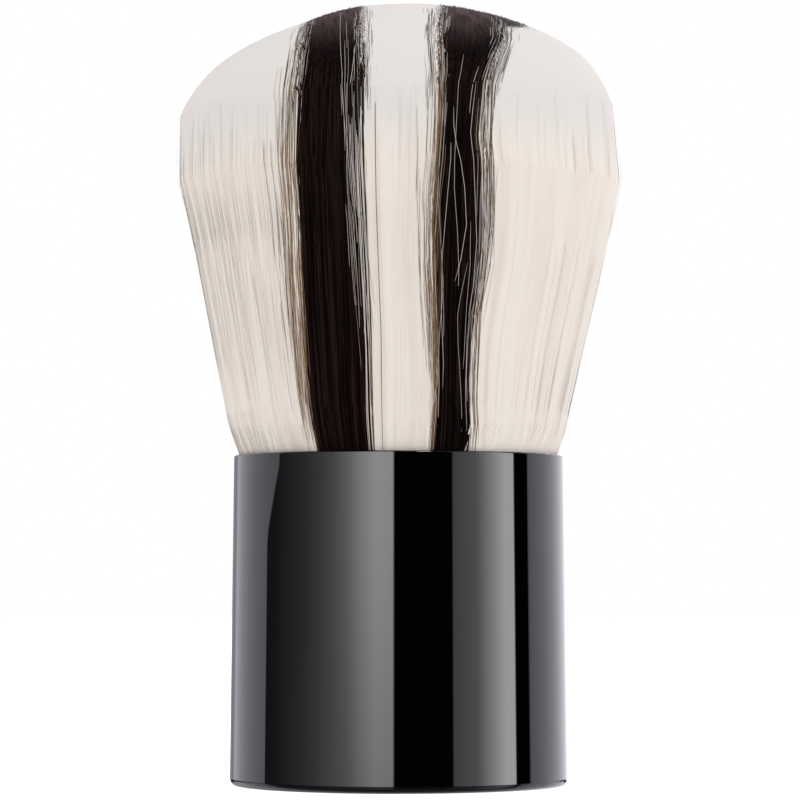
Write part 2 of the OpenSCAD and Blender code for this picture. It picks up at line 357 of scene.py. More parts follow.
def hair_material(name, colours, gloss):
    """Hair that is white or black by its place, with streaks of both where the stripes meet."""

    def base(shader):
        ragged = streaks(shader, 240, 120, 20) * MINGLING
        black = (hair_number(shader, "inside") + ragged).step(-STREAK_EDGE, STREAK_EDGE)
        white = white_colour(shader, colours)
        return shader.colours(black, white, black_colour(shader, colours))

    return surface_material(name, base, HAIR_ROUGHNESS, constants={"Specular IOR Level": gloss})


def lacquer_material(colours):
    """Polished black lacquer, with the faintest unevenness left by wiping."""

    def roughness(shader):
        return object_noise(shader, 90.0, 4.0).step(0.35, 0.75) * 0.015 + 0.008

    return surface_material("Black lacquer", colours.lacquer, roughness, constants={"IOR": 1.5})


def steel_material():
    """Turned steel, with fine rings from the tool."""

    def base(shader):
        x, y, _ = coordinates(shader, "Object")
        rings = ((x * x + y * y).math("SQRT") * 9000.0).math("SINE") * 0.5 + 0.5
        return shader.colours(rings, (0.42, 0.42, 0.44), (0.52, 0.52, 0.54))

    return surface_material("Turned steel", base, 0.38, 1.0)


def drawn_metal_material():
    """Drawn aluminium, with faint marks up and down the wall."""

    def roughness(shader):
        return object_noise(shader, 1500.0, 3.0, (1, 1, 0.04)) * 0.2 + 0.25

    return surface_material("Drawn aluminium", (0.78, 0.78, 0.8), roughness, 1.0)


def moulded_material():
    """Black moulded plastic with a fine sparked grain."""

    def normal(shader):
        grain = object_noise(shader, 4000.0, 2.0)
        inputs = {"Strength": 0.25, "Distance": 0.00005, "Height": grain}
        return shader.node("ShaderNodeBump", {}, inputs).outputs[0]

    return surface_material("Moulded plastic", (0.03, 0.03, 0.032), 0.5, normal=normal)


def resin_material():
    """Cast amber resin, cloudier in places."""

    def base(shader):
        cloud = object_noise(shader, 220.0, 4.0)
        return shader.colours(cloud, (0.5, 0.3, 0.1), (0.7, 0.5, 0.24))

    return surface_material("Cast resin", base, 0.18, constants={"Coat Weight": 0.3})


def thread_material():
    """Waxed thread with a fine twist."""

    def base(shader):
        x, y, z = coordinates(shader, "Object")
        turn = y.math("ARCTAN2", x) * 110.0 + z * 9000.0
        twist = turn.math("SINE") * 0.5 + 0.5
        return shader.colours(twist, (0.45, 0.38, 0.28), (0.72, 0.64, 0.52))

    return surface_material("Waxed thread", base, 0.7)


def give_material(thing, material):
    """The whole of an object in one material."""
    thing.data.materials.clear()
    thing.data.materials.append(material)


def soft_min(first, second, blend):
    """The lower of two lines, with a soft turn where they cross."""
    return (first + second - np.sqrt((first - second) ** 2 + blend**2)) / 2


def soft_step(x):
    """0 below 0, 1 above 1 and a soft step between them."""
    s = np.clip(x, 0, 1)
    return s * s * (3 - 2 * s)


def unit(vectors):
    """Vectors of length 1."""
    return vectors / np.maximum(np.linalg.norm(vectors, axis=-1, keepdims=True), 1e-12)


# How far combing moves the whole head sideways, by height, in mm
SETTING = ((32.5, 0.0), (37, -0.12), (45, 0.05), (54, 0.22), (59.7, 0.1), (66.8, -0.2), (72, 0.0))

# How far the four edges of the black stripes wander, by height in mm, as shares of the radius
WANDER = (
    (33, (-0.021, 0.010, 0.015, 0.056)),
    (39, (-0.026, 0.018, 0.036, 0.004)),
    (45, (-0.021, 0.012, 0.001, -0.009)),
    (50, (-0.013, 0.002, -0.025, 0.010)),
    (56, (0.007, -0.006, -0.034, -0.015)),
    (62, (0.020, 0.000, -0.005, -0.035)),
    (68, (0.035, 0.007, 0.018, 0.010)),
    (72, (0.035, -0.006, 0.000, 0.050)),
    (76, (0.050, -0.008, 0.018, 0.010)),
)


# How softly the lines of the head's outline meet
SOFT_TURN = 0.03 * MM

# How late the dome drops towards its edge
SHOULDER_POWER = 14

# How far back from the middle the right stripe's tips spread, and how softly that ends
SPREAD_BACK, SPREAD_FADE = 0.62, 0.2

# How far below the dome the hair's surface starts to turn towards it
TOP_TURN = 5 * MM

# How near a stripe's edge a place belongs to the parting beside it
PARTING = 0.075 * MM


class HeadForm:
    """The head's outline.

    A hair's place (u, v) is its share of the radius to the right and to the back.
    """

    def __init__(self, head):
        self.head = head
        self.mouth_top_z = RIM_Z + head.mouth_h
        self.mouth_top_r = head.mouth_r + head.mouth_h * math.tan(head.mouth_angle)
        flare = head.widest_r - self.mouth_top_r
        self.widest_z = self.mouth_top_z + flare / math.tan(head.flare_angle)
        left = head.left_black_from, head.left_black_to
        right = head.right_black_from, head.right_black_to
        self.edges = [edge / head.mouth_r for edge in left + right]

    def radius(self, z):
        """Outer radius of the hair at a height."""
        head = self.head
        mouth = head.mouth_r + (z - RIM_Z) * math.tan(head.mouth_angle)
        flare = self.mouth_top_r + (z - self.mouth_top_z) * math.tan(head.flare_angle)
        lean = head.widest_r - (z - self.widest_z) * math.tan(head.lean_angle)
        return soft_min(soft_min(mouth, flare, SOFT_TURN), lean, SOFT_TURN)

    def slope(self, z):
        """How fast that radius grows with height."""
        near = 0.1 * MM
        return (self.radius(z + near) - self.radius(z - near)) / (2 * near)

    def tip(self, u, v):
        """Height of the trimmed dome over a place."""
        head = self.head
        away = np.hypot(u * head.widest_r - head.dome_shift, v * head.widest_r)
        dome = head.top_z - head.dome_r + np.sqrt(head.dome_r**2 - away**2)
        return dome - head.shoulder_drop * (u * u + v * v) ** (SHOULDER_POWER / 2)

    def dome_normal(self, u, v):
        """Outward direction of the dome over a place."""
        head = self.head
        x, y = u * head.widest_r - head.dome_shift, v * head.widest_r
        fall = SHOULDER_POWER * head.shoulder_drop / head.widest_r
        drop = fall * (u * u + v * v) ** (SHOULDER_POWER / 2 - 1)
        lift = np.sqrt(head.dome_r**2 - x * x - y * y)
        return unit(np.stack([x / lift + drop * u, y / lift + drop * v, np.ones_like(u)], axis=-1))

    def path(self, u, v, way):
        """Place and height of a hair some way up the side, or on over the dome past its edge."""
        edge = self.tip(u, v)
        over = np.clip((way - edge) / self.head.widest_r, 0, 0.9)
        swollen = self.swell(u, v)
        u, v = u * (1 - over * np.abs(u) ** 3), v * (1 - over)
        u = u + (self.swell(u, v) - swollen) * np.interp(u, (*self.edges[2:], 1), (0, 1, 0))
        return u, v, np.where(way > edge, self.tip(u, v), way)

    def skin_normal(self, u, v, z):
        """Outward direction of the head's smooth surface near a place."""
        rho = np.maximum(np.hypot(u, v), 1e-6)
        out_and_down = unit(np.stack([u / rho, v / rho, -self.slope(z)], axis=-1))
        near_top = soft_step(1 - (self.tip(u, v) - z) / TOP_TURN)[:, None]
        return unit(out_and_down * (1 - near_top) + self.dome_normal(u, v) * near_top)

    def swell(self, u, v):
        """How far the right black stripe's right edge has moved outward, deep in the head."""
        return self.head.right_swell / self.head.mouth_r * np.maximum(0, 1 - u * u - v * v)

    def edge(self, number, v):
        """Place of a stripe's edge."""
        u = self.edges[number]
        return u + self.swell(u, v) if number == 3 else np.full_like(v, u)

    def black_edge(self, number, v):
        """Where the black hair ends: at the right its tips spread over the white ones."""
        near_summit = soft_step((SPREAD_BACK - np.abs(v)) / SPREAD_FADE)
        spread = near_summit * self.head.tip_spread / self.head.widest_r
        return self.edge(number, v) + (spread if number == 3 else 0)

    def inside(self, u, v):
        """How far inside the nearest black stripe a place is; outside of them it is negative."""
        first, second, third, fourth = (self.black_edge(number, v) for number in range(4))
        left, right = np.minimum(u - first, second - u), np.minimum(u - third, fourth - u)
        return np.maximum(left, right) * self.head.widest_r

    def closed(self, u, v):
        """The place u, moved over a stripe's edge where it lies at the parting beside it."""
        for number in range(len(self.edges)):
            beyond = self.edge(number, v) - u
            u = np.where(np.abs(beyond) < PARTING / self.head.widest_r, u + 2 * beyond, u)
        return u

    def combed(self, u, v, z):
        """Where on the plan a hair is at a height, after combing has moved it a little sideways."""
        heights = [height * MM for height, _ in WANDER]
        columns = zip(*(shifts for _, shifts in WANDER))
        shifts = [np.interp(z, heights, column) for column in columns]
        places = (-1, *self.edges, 1)
        moved = u.copy()
        for k, (now, then) in enumerate(zip((0, *shifts), (*shifts, 0))):
            share = np.clip((u - places[k]) / (places[k + 1] - places[k]), 0, 1)
            moved += (then - now) * share
        moved = np.clip(moved, -1, 1)
        deep = v * np.sqrt((1 - moved**2) / np.maximum(1 - u * u, 1e-3))
        aside = np.interp(z, *np.transpose(SETTING) * MM)
        radius = self.radius(z)
        return np.stack([moved * radius + aside, deep * radius, z], axis=-1)


class Hairs:
    """A set of hairs, each value an array with one entry per hair.

    u, v: place in the head; low, high: its two ends, as heights up the side, counted on over the
    dome; width: thickness; sway: sideways shift of the tip; bow, phase: size and start of its
    wave; lift: how far its tip stands out; tone, loose: what its material reads; stripe: its
    number from the left, from 0. Values that aren't given are 0.
    """

    FIELDS = "u v low high width sway bow phase lift tone loose stripe".split()

    def __init__(self, **values):
        zeros = np.zeros(len(values["u"]))
        for field in self.FIELDS:
            setattr(self, field, values.get(field, zeros))

    def __len__(self):
        return len(self.u)

    def only(self, chosen):
        """The hairs picked out by a mask."""
        return Hairs(**{field: getattr(self, field)[chosen] for field in self.FIELDS})

    def joined(self, others):
        """These hairs and others as one set."""
        pairs = {field: (getattr(self, field), getattr(others, field)) for field in self.FIELDS}
        return Hairs(**{field: np.concatenate(pair) for field, pair in pairs.items()})


# Distance between the straight hairs, in their unit widths, and the corners of a hair's section
HAIR_GAP = 4.0
CORNERS = 3

# Places of the rings along a long hair. Those with names meet the bends of the head's outline.
MOUTH_RING, WIDEST_RING, EDGE_RING = 0.1, 0.52, 0.68
SIDE_RINGS = (0, MOUTH_RING, 0.132, 0.27, 0.42, WIDEST_RING, EDGE_RING, 0.75, 0.83, 0.92, 1)
DOME_RINGS = (0, 1)

# How much the rings over the dome crowd towards its edge
CROWDING = 1.5

# Width of a long hair's ends and of an upright hair's, as a share of its own
FINE_END, BLUNT_END = 0.35, 0.7

# Waves of a hair from the rim to the summit, and the rise over which they set in
WAVES, WAVE_START = 2.2, 0.25

# How much the start of the paler tips differs from hair to hair, in mm
RAGGED = 5.0

# What stands for far inside a stripe and far below the dome, in mm
FAR_INSIDE, FAR_BELOW = 10.0, 50.0


def cut_level(bm, heights):
    """Cuts a mesh level at each height and keeps all of it."""
    for height in heights:
        everything = bm.verts[:] + bm.edges[:] + bm.faces[:]
        bmesh.ops.bisect_plane(bm, geom=everything, plane_co=(0, 0, height), plane_no=(0, 0, 1))


def straight_hairs(name, count, rings):
    """A row of upright hairs of unit size, HAIR_GAP apart, as one mesh."""
    bm = bmesh.new()
    up = Matrix.Translation((0, 0, 0.5))
    bmesh.ops.create_cone(
        bm, cap_ends=True, segments=CORNERS, radius1=0.5, radius2=0.5, depth=1, matrix=up
    )
    cut_level(bm, rings[1:-1])
    mesh = bpy.data.meshes.new(name)
    bm.to_mesh(mesh)
    bm.free()
    row = bpy.data.objects.new(name, mesh)
    bpy.context.scene.collection.objects.link(row)
    array = row.modifiers.new("Row", "ARRAY")
    array.count = count
    array.use_relative_offset = False
    array.use_constant_offset = True
    array.constant_offset_displace = (HAIR_GAP, 0, 0)
    evaluated = row.evaluated_get(bpy.context.evaluated_depsgraph_get())
    finished = bpy.data.meshes.new_from_object(evaluated)
    bpy.data.objects.remove(row)
    return finished


def set_numbers(mesh, name, values):
    """A number at each vertex, which a material can read."""
    numbers = mesh.attributes.new(name, "FLOAT", "POINT")
    numbers.data.foreach_set("value", values.astype(np.float32))


def ring_ways(form, along, low, high, edge):
    """How far up its path each ring of a hair is, so that rings meet the outline's bends."""
    span = high - low
    points = [low, high]
    bends = ((MOUTH_RING, form.mouth_top_z), (WIDEST_RING, form.widest_z), (EDGE_RING, edge))
    for ring, bend in bends:
        passed = (low < bend - MM) & (high > bend + MM)
        points.append(np.where(passed, bend, low + ring * span))
    points = np.sort(points, axis=0)
    marks = np.array((0, MOUTH_RING, WIDEST_RING, EDGE_RING, 1))
    part = np.clip(np.searchsorted(marks, along, side="right") - 1, 0, 3)
    share = (along - marks[part]) / (marks[part + 1] - marks[part])
    share = np.where(part == 3, share**CROWDING, share)
    every = np.arange(len(along))
    return points[part, every] + (points[part + 1, every] - points[part, every]) * share


def comb(mesh, hairs, form, hair, lying):
    """Moves a row of straight hairs to their places, lying on the head or upright in the dome.

    Returns the vertices' soft normals.
    """
    places = np.empty(len(mesh.vertices) * 3, dtype=np.float32)
    mesh.vertices.foreach_get("co", places)
    places = places.reshape(-1, 3).astype(float)
    owner = np.rint(places[:, 0] / HAIR_GAP).astype(int)
    across, deep, along = places[:, 0] - owner * HAIR_GAP, places[:, 1], places[:, 2]

    u, v = hairs.u[owner], hairs.v[owner]
    low, high = hairs.low[owner], hairs.high[owner]
    rho = np.maximum(np.hypot(u, v), 1e-6)
    round_way = np.stack([-v / rho, u / rho, np.zeros_like(u)], axis=-1)
    if lying:
        u, v, z = form.path(u, v, ring_ways(form, along, low, high, form.tip(u, v)))
        skin = form.skin_normal(u, v, z)
        facing, flatness = skin, hair.flatness
    else:
        z = low + (high - low) * along
        skin = form.skin_normal(u, v, z)
        facing, flatness = np.stack([u / rho, v / rho, np.zeros_like(u)], axis=-1), 0

    rise = np.clip((z - RIM_Z) / (form.head.top_z - RIM_Z), 0, 1)
    turn = 2 * np.pi * (WAVES * rise + hairs.phase[owner])
    wave = hairs.bow[owner] * np.sin(turn) * np.minimum(rise / WAVE_START, 1)
    aside = hairs.sway[owner] * rise + wave
    out = hairs.lift[owner] * np.sqrt(along)
    centre = form.combed(u, v, z) + facing * out[:, None] + round_way * aside[:, None]
    fine_end = FINE_END if lying else BLUNT_END
    width = hairs.width[owner] * np.where((along < 0.01) | (along > 0.99), fine_end, 1)
    side = facing * (deep * (flatness - 1))[:, None] + round_way * across[:, None]
    mesh.vertices.foreach_set("co", (centre + side * width[:, None]).astype(np.float32).ravel())

    tone, loose = hairs.tone[owner], hairs.loose[owner]
    below = (form.tip(u, v) - z) / MM + RAGGED * (tone - 0.5)
    black = np.where(hairs.stripe[owner] % 2 == 1, FAR_INSIDE, -FAR_INSIDE)
    set_looks(mesh, tone, loose, below, (form.head.top_z - z) / MM, black)
    set_place(mesh, hairs.u[owner], hairs.v[owner], z)
    return unit(skin + hair.roundness * unit(side))


def set_looks(mesh, tone, loose, below, summit, inside):
    """The numbers that the hair's materials read, all but tone and loose in mm.

    below, summit: depth below the dome and below its summit; inside: how far inside a black stripe.
    """
    looks = {"tone": tone, "loose": loose, "below": below, "summit": summit, "inside": inside}
    for name, values in looks.items():
        set_numbers(mesh, name, np.broadcast_to(values, len(mesh.vertices)))


def set_place(mesh, u, v, z):
    """The place in the head that each vertex belongs to, which the streaks in the hair follow."""
    places = np.stack([u, v, z], axis=-1).astype(np.float32)
    mesh.attributes.new("place", "FLOAT_VECTOR", "POINT").data.foreach_set("vector", places.ravel())


# Where a place on a stripe's furrowed solid is on the side, as a share of the radius, and how far
# below the dome and above the dome's edge it is on the dome
SIDE_FROM, DOME_DEPTH, ABOVE_EDGE = 0.93, 0.8 * MM, 0.05 * MM

# How far above the rim the solid is smoothed
ABOVE_RIM = 0.01 * MM


def on_form(form, places, outline):
    """Places (u, v, z) in the head, the outer ones moved onto its smooth form, and which those are.

    outline: share of the radius from which a place is on the side and not on the dome.
    """
    x, y, z = places.T
    u, v = x / form.radius(z), y / form.radius(z)
    rho = np.maximum(np.hypot(u, v), 1e-6)
    edge = form.tip(u / rho, v / rho)
    near_dome = form.tip(u, v) - z < DOME_DEPTH
    on_dome = (rho < outline) & (z > edge + ABOVE_EDGE) & near_dome
    on_side = (rho > SIDE_FROM) & (z > RIM_Z + ABOVE_RIM) & ~on_dome
    fill = np.where(on_side, 1 / rho, 1)
    u, v = u * fill, v * fill
    z = np.where(on_dome, form.tip(u, v), np.where(on_side, np.minimum(z, edge), z))
    return u, v, z, on_dome | on_side


# Share of the radius beyond which the furrowed solid's vertices belong to its side
FURROW_EDGE = 0.965

# How far above the widest place the solid is made finer a second time
FINEST_FROM = 5 * MM


def corners(bm):
    """Places of a mesh's vertices."""
    return np.array([vertex.co[:] for vertex in bm.verts])


def finer_solid(node, form):
    """A copy of a stripe's solid without its furrows, cut at the outline's bends, finer outside."""
    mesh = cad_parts[node].data.copy()
    bm = bmesh.new()
    bm.from_mesh(mesh)
    bmesh.ops.remove_doubles(bm, verts=bm.verts, dist=MM / 1000)
    u, v, z, outside = on_form(form, corners(bm), FURROW_EDGE)
    smooth = np.stack([u * form.radius(z), v * form.radius(z), z], axis=-1)
    for vertex, place, moved in zip(bm.verts, smooth, outside):
        if moved:
            vertex.co = place
    set_heights = [height * MM for height, _ in SETTING[1:-3]]
    cut_level(bm, (form.mouth_top_z, *set_heights, form.widest_z))
    bmesh.ops.triangulate(bm, faces=bm.faces)
    for lowest in (RIM_Z, form.widest_z + FINEST_FROM):
        bm.verts.index_update()
        _, _, z, outside = on_form(form, corners(bm), 1)
        outside &= z > lowest
        edges = [edge for edge in bm.edges if all(outside[vertex.index] for vertex in edge.verts)]
        bmesh.ops.subdivide_edges(bm, edges=edges, cuts=1, use_grid_fill=True)
    bm.to_mesh(mesh)
    bm.free()
    return mesh


# Tone of the hair between the separate hairs, at the head's left and at its right. On the white
# stripes the creamier, darker left is painted shade.
CORE_TONES_AND_SHADE = (0.55, 0.35)


def hair_core(node, form, hair):
    """Mesh and normals of a stripe's solid, smoothed to the head's form, under its hairs."""
    mesh = finer_solid(node, form)
    places, normals = np.empty((2, len(mesh.vertices) * 3), dtype=np.float32)
    mesh.vertices.foreach_get("co", places)
    mesh.vertex_normals.foreach_get("vector", normals)
    places, normals = (flat.reshape(-1, 3).astype(float) for flat in (places, normals))

    u, v, z, outside = on_form(form, places, 1)
    u = np.where(outside, form.closed(u, v), u)
    normals[outside] = form.skin_normal(u, v, z)[outside]
    sunk = hair.core_drop * np.clip((z - RIM_Z) / MM, 0, 1)
    above = z > RIM_Z + ABOVE_RIM
    places[above] = (form.combed(u, v, z) - normals * sunk[:, None])[above]
    mesh.vertices.foreach_set("co", places.astype(np.float32).ravel())
    mesh.update()
    # Painted shade: the white core is creamier and darker towards the left
    tone = np.interp(u, (-1, 1), CORE_TONES_AND_SHADE)
    below = np.where(above, (form.tip(u, v) - z) / MM, FAR_BELOW)
    summit = np.where(above, (form.head.top_z - z) / MM, FAR_BELOW)
    set_looks(mesh, tone, 0.0, below, summit, form.inside(u, v) / MM)
    set_place(mesh, u, v, z)
    return mesh, normals


def add_piece(name, node, parts, material, material_slot):
    """One piece from (mesh, normals) parts, shaded by those normals, in place of a solid."""
    things = []
    for mesh, _ in parts:
        mesh.materials.clear()
        mesh.materials.append(material)
        thing = bpy.data.objects.new(name, mesh)
        bpy.context.scene.collection.objects.link(thing)
        things.append(thing)
    piece = things[0]
    with bpy.context.temp_override(active_object=piece, selected_editable_objects=things):
        bpy.ops.object.join()
    piece.data.shade_smooth()
    normals = np.concatenate([normals for _, normals in parts])
    piece.data.normals_split_custom_set_from_vertices(normals)
    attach(piece, "root")
    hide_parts(node)


# How far hairs stray over each edge of the black stripes, as a share of the radius, the share of
# the hairs that do, and how much less the others stray
STRAY = (0.012, 0.02, 0.012, 0.022)
STRAYING, ORDERLY = 0.25, 0.12

# How far from a stripe's edge every hair is drawn
MEETING = 0.8 * MM

# Share of the other hairs that are drawn, by stripe: where they are few, the smooth skin shows
SIDE_DENSITY = np.array((0.1, 1, 0.1, 1, 0.03))
DOME_DENSITY = np.array((0.06, 1, 0.06, 1, 0.06))


# How far inside the rim the long hairs start
ROOT_DEPTH = 2.5 * MM

# Least and greatest width of the hairs beside the setting
SIDE_WIDTHS, DOME_WIDTHS = (0.75, 1.2), (0.8, 1.2)

# Where on the dome hairs end, as a share of the radius, and how far below its surface they start,
# in mm
DOME_REACH, STUB = 0.93, (0.6, 1.2)

# How uneven tips are beside the setting: the black ones, the white ones and the few white ones that
# stand out, and the share of those
BLACK_UNEVEN, WHITE_UNEVEN, PROUD_UNEVEN, PROUD = 2.5, 0.7, 3, 0.06


def stripe_of(rng, u, v, form):
    """Which stripe's colour a hair takes: its place decides, but some hairs stray over an edge."""
    count = len(u)
    straying = rng.random(count) < STRAYING
    scatter = np.where(straying, rng.normal(0, 1, count), rng.normal(0, ORDERLY, count))
    stripe = np.zeros(count, dtype=int)
    for number, stray in enumerate(STRAY):
        stripe += u + scatter * stray > form.black_edge(number, v)
    return stripe


def thinned(rng, form, hairs, density):
    """Some of the hairs, by the density of their stripe, and all of them where stripes meet."""
    meeting = np.abs(form.inside(hairs.u, hairs.v)) < MEETING
    return hairs.only(rng.random(len(hairs)) < np.where(meeting, 1, density[hairs.stripe]))


def round_places(rng, count, depth):
    """Angles and places round the head; depth turns chance into shares of the radius."""
    angle = rng.uniform(-np.pi, np.pi, count)
    share = depth(rng.random(count))
    return angle, np.sin(angle) * share, -np.cos(angle) * share


def in_locks(rng, angle, lock_degrees):
    """A random number from 0 to 1 that neighbouring hairs share."""
    count = round(360 / lock_degrees)
    values = rng.random(count)
    place = (angle / (2 * np.pi) % 1) * count
    return np.interp(place, np.arange(count + 1), np.append(values, values[0]))


# How far black hairs reach on over the dome, how far short of its edge some of them and the white
# ones end, in mm, and the share of the black ones that do
BLACK_OVER, BLACK_SHORT, WHITE_SHORT = 11, 5, 6
ENDING_SHORT = 0.12

# Widths in degrees of the locks that lean together and of the finer ones that share a tone
LEANING_LOCK, TONE_LOCK = 3, 0.8

# How much of a hair's lean and tone is its lock's, and how much its own
LOCK_LEAN, OWN_LEAN = 1.6, 0.7
LOCK_TONE, OWN_TONE = 0.3, 0.7

# How much tones differ, from the left of the head to its right
TONE_RANGE = ((-0.5, 0.4), (1, 0.35))

# How brown the black stripes' edges are, by place, and how far in from the edge, in mm
BROWN = ((-0.4, -0.3, 0.1, 0.2, 0.25, 0.35), (1, 0.2, 0.2, 1, 1, 0.5))
BROWN_DEPTH = 0.35

# How far a hair that has strayed stands out, in mm, and its width beside the others
STRAY_LIFT, STRAY_WIDTH = 0.06, 0.6


def side_hairs(rng, form, hair):
    """The long hairs round the outside, from inside the rim to the dome's edge."""
    count = hair.side_count
    angle, u, v = round_places(rng, count, lambda chance: 1 - hair.depth * chance)
    short = rng.random(count) < ENDING_SHORT
    short_by, over_by = rng.uniform(0, BLACK_SHORT, count), rng.random(count) ** 1.3 * BLACK_OVER
    lean = LOCK_LEAN * (in_locks(rng, angle, LEANING_LOCK) - 0.5) + rng.normal(0, OWN_LEAN, count)
    tone = LOCK_TONE * in_locks(rng, angle, TONE_LOCK) + OWN_TONE * rng.random(count) - 0.5
    stripe = stripe_of(rng, u, v, form)
    black = stripe % 2 == 1
    black_over = np.where(short, -short_by, over_by)
    over = np.where(black, black_over, -rng.uniform(0, WHITE_SHORT, count)) * MM
    inside = form.inside(u, v) / MM
    strayed = black != (inside > 0)
    edge_brown = np.clip(1 - inside / BROWN_DEPTH, 0, 0.9) * np.interp(u, *BROWN)
    loose = np.where(black, edge_brown, 0.9 * strayed) * rng.random(count)
    return Hairs(
        u=u,
        v=v,
        low=np.full(count, RIM_Z - ROOT_DEPTH),
        high=form.tip(u, v) + over,
        width=hair.width * rng.uniform(*SIDE_WIDTHS, count) * np.where(strayed, STRAY_WIDTH, 1),
        sway=lean * hair.sway,
        bow=rng.normal(0, 1, count) * hair.wave,
        phase=rng.random(count),
        lift=np.abs(rng.normal(0, 0.008, count) + STRAY_LIFT * strayed) * MM,
        tone=0.5 + tone * np.interp(u, *TONE_RANGE),
        loose=loose,
        stripe=stripe,
    )


def dome_hairs(rng, form, hair):
    """The ends of the hairs that reach the dome: the black ones and a few white ones stand out."""
    count = hair.dome_count
    _, u, v = round_places(rng, count, lambda chance: DOME_REACH * np.sqrt(chance))
    stripe = stripe_of(rng, u, v, form)
    white_uneven = np.where(rng.random(count) < PROUD, PROUD_UNEVEN, WHITE_UNEVEN)
    uneven = np.where(stripe % 2 == 1, BLACK_UNEVEN, white_uneven) * hair.unevenness
    tip = form.tip(u, v) + (np.abs(rng.normal(0, 1, count)) - 0.5) * uneven
    return Hairs(
        u=u,
        v=v,
        low=tip - rng.uniform(*STUB, count) * MM,
        high=tip,
        width=hair.width * rng.uniform(*DOME_WIDTHS, count),
        sway=rng.normal(0, 0.5, count) * hair.sway,
        tone=rng.random(count),
        stripe=stripe,
    )


class Tuft(NamedTuple):
    """Loose hairs that lie over the others, half of them at the front and half at the back.

    Ranges are from lowest to highest: place, the share of the radius at the rim; lean, the
    sideways shift at the dome; start, how far up the side, counted on over the dome. All lengths
    are in mm.
    """

    stripe: int
    count: int
    place: tuple
    lean: tuple
    start: tuple
    length: tuple
    width: tuple = (0.02, 0.045)
    loose: float = 0.0
    wave: float = 0.15
    lift: tuple = (0.03, 0.1)


# Hairs that cross the stripes' edges on the dome: low black ones and raised pale ones
LOW = {"start": (64, 77), "length": (2, 4), "lift": (0.01, 0.05)}
RAISED = {"lean": (-0.2, 0.2), "length": (2, 4), "lift": (0.02, 0.06), "loose": 0.6}

TUFTS = (
    # Golden hairs along the left edges of the black stripes
    Tuft(1, 220, (-0.53, -0.455), (-0.9, 0.6), (31, 60), (6, 18), loose=1.0),
    Tuft(3, 130, (0.15, 0.20), (-1.2, 0.4), (31, 60), (6, 18), loose=1.0),
    # Single dark hairs that cross the white beside them
    Tuft(1, 40, (-0.56, -0.48), (-3.0, -0.4), (34, 60), (4, 12), loose=0.4),
    Tuft(3, 30, (0.12, 0.19), (-2.2, -0.2), (34, 60), (4, 12), loose=0.4),
    # Pale hairs over the right third of the left black stripe
    Tuft(2, 70, (-0.21, -0.13), (-1.6, 0.2), (40, 64), (5, 14), (0.02, 0.05), loose=0.8),
    # Long pale hairs that cross the right black stripe
    Tuft(4, 16, (0.2, 0.4), (-1.6, 1.6), (33, 50), (12, 26), (0.03, 0.05), loose=0.7, wave=0.4),
    # Mixed hairs beyond its right edge
    Tuft(4, 30, (0.33, 0.42), (-0.8, 0.8), (34, 62), (5, 16), loose=0.7),
    Tuft(3, 40, (0.37, 0.43), (-0.6, 0.7), (33, 60), (6, 18), loose=0.8),
    Tuft(3, 60, (0.37, 0.43), (-0.6, 0.8), (33, 62), (5, 14), loose=0.3),
    # Cream hairs that fan out over the left side
    Tuft(0, 80, (-0.97, -0.5), (-3.0, 0.5), (33, 46), (8, 18), (0.04, 0.07), lift=(0.0, 0.02)),
    # Hairs of both colours that cross the stripes' edges on the dome
    Tuft(1, 110, (-0.53, -0.46), (-0.3, 0.2), **LOW),
    Tuft(1, 90, (-0.17, -0.12), (-0.2, 0.3), **LOW),
    Tuft(3, 110, (0.12, 0.18), (-0.3, 0.2), **LOW),
    Tuft(3, 110, (0.38, 0.45), (-0.2, 0.5), **LOW),
    Tuft(0, 60, (-0.48, -0.43), start=(62, 77), **RAISED),
    Tuft(2, 70, (-0.20, -0.15), start=(62, 77), **RAISED),
    Tuft(2, 70, (0.17, 0.21), start=(62, 77), **RAISED),
    Tuft(4, 70, (0.34, 0.40), start=(60, 77), **RAISED),
    # Stray hairs at the sides
    Tuft(0, 8, (-1.0, -0.99), (-0.6, 0.6), (54, 60), (5, 8), lift=(0.2, 0.5)),
    Tuft(4, 8, (0.99, 1.0), (-0.6, 0.6), (52, 58), (5, 8), lift=(0.2, 0.4)),
)


def tuft_hairs(rng, form, tuft):
    """The hairs of one tuft."""
    count = tuft.count
    u = rng.uniform(*tuft.place, count)
    side = np.where(np.arange(count) % 2 == 0, -1, 1)
    v = side * np.sqrt(np.maximum(1 - u * u, 0))
    low = rng.uniform(*tuft.start, count) * MM
    return Hairs(
        u=u,
        v=v,
        low=low,
        high=low + rng.uniform(*tuft.length, count) * MM,
        width=rng.uniform(*tuft.width, count) * MM,
        sway=-side * rng.uniform(*tuft.lean, count) * MM,
        bow=rng.normal(0, 1, count) * tuft.wave * MM,
        phase=rng.random(count),
        lift=rng.uniform(*tuft.lift, count) * MM,
        tone=rng.uniform(0, 1, count),
        loose=tuft.loose * rng.uniform(0.4, 1, count),
        stripe=np.full(count, tuft.stripe),
    )


class KABUKI_OT_finish_shell(bpy.types.Operator):
    """Give the shell and the pieces inside it their finishes."""

    bl_idname = "kabuki.finish_shell"
    bl_label = "Finish the shell"

    def execute(self, context):
        colours = context.scene.kabuki_colours
        finishes = {
            "handle_shell": lacquer_material(colours),
            "ballast_disc": steel_material(),
            "insert_collar": moulded_material(),
            "hair_cup": drawn_metal_material(),
            "resin_plug": resin_material(),
            "binding_thread": thread_material(),
        }
        for node, material in finishes.items():
            give_material(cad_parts[node], material)
        return {"FINISHED"}


def grown(name, hairs, form, hair, lying):
    """Mesh and normals of a set of hairs."""
    mesh = straight_hairs(name, len(hairs), SIDE_RINGS if lying else DOME_RINGS)
    return mesh, comb(mesh, hairs, form, hair, lying)


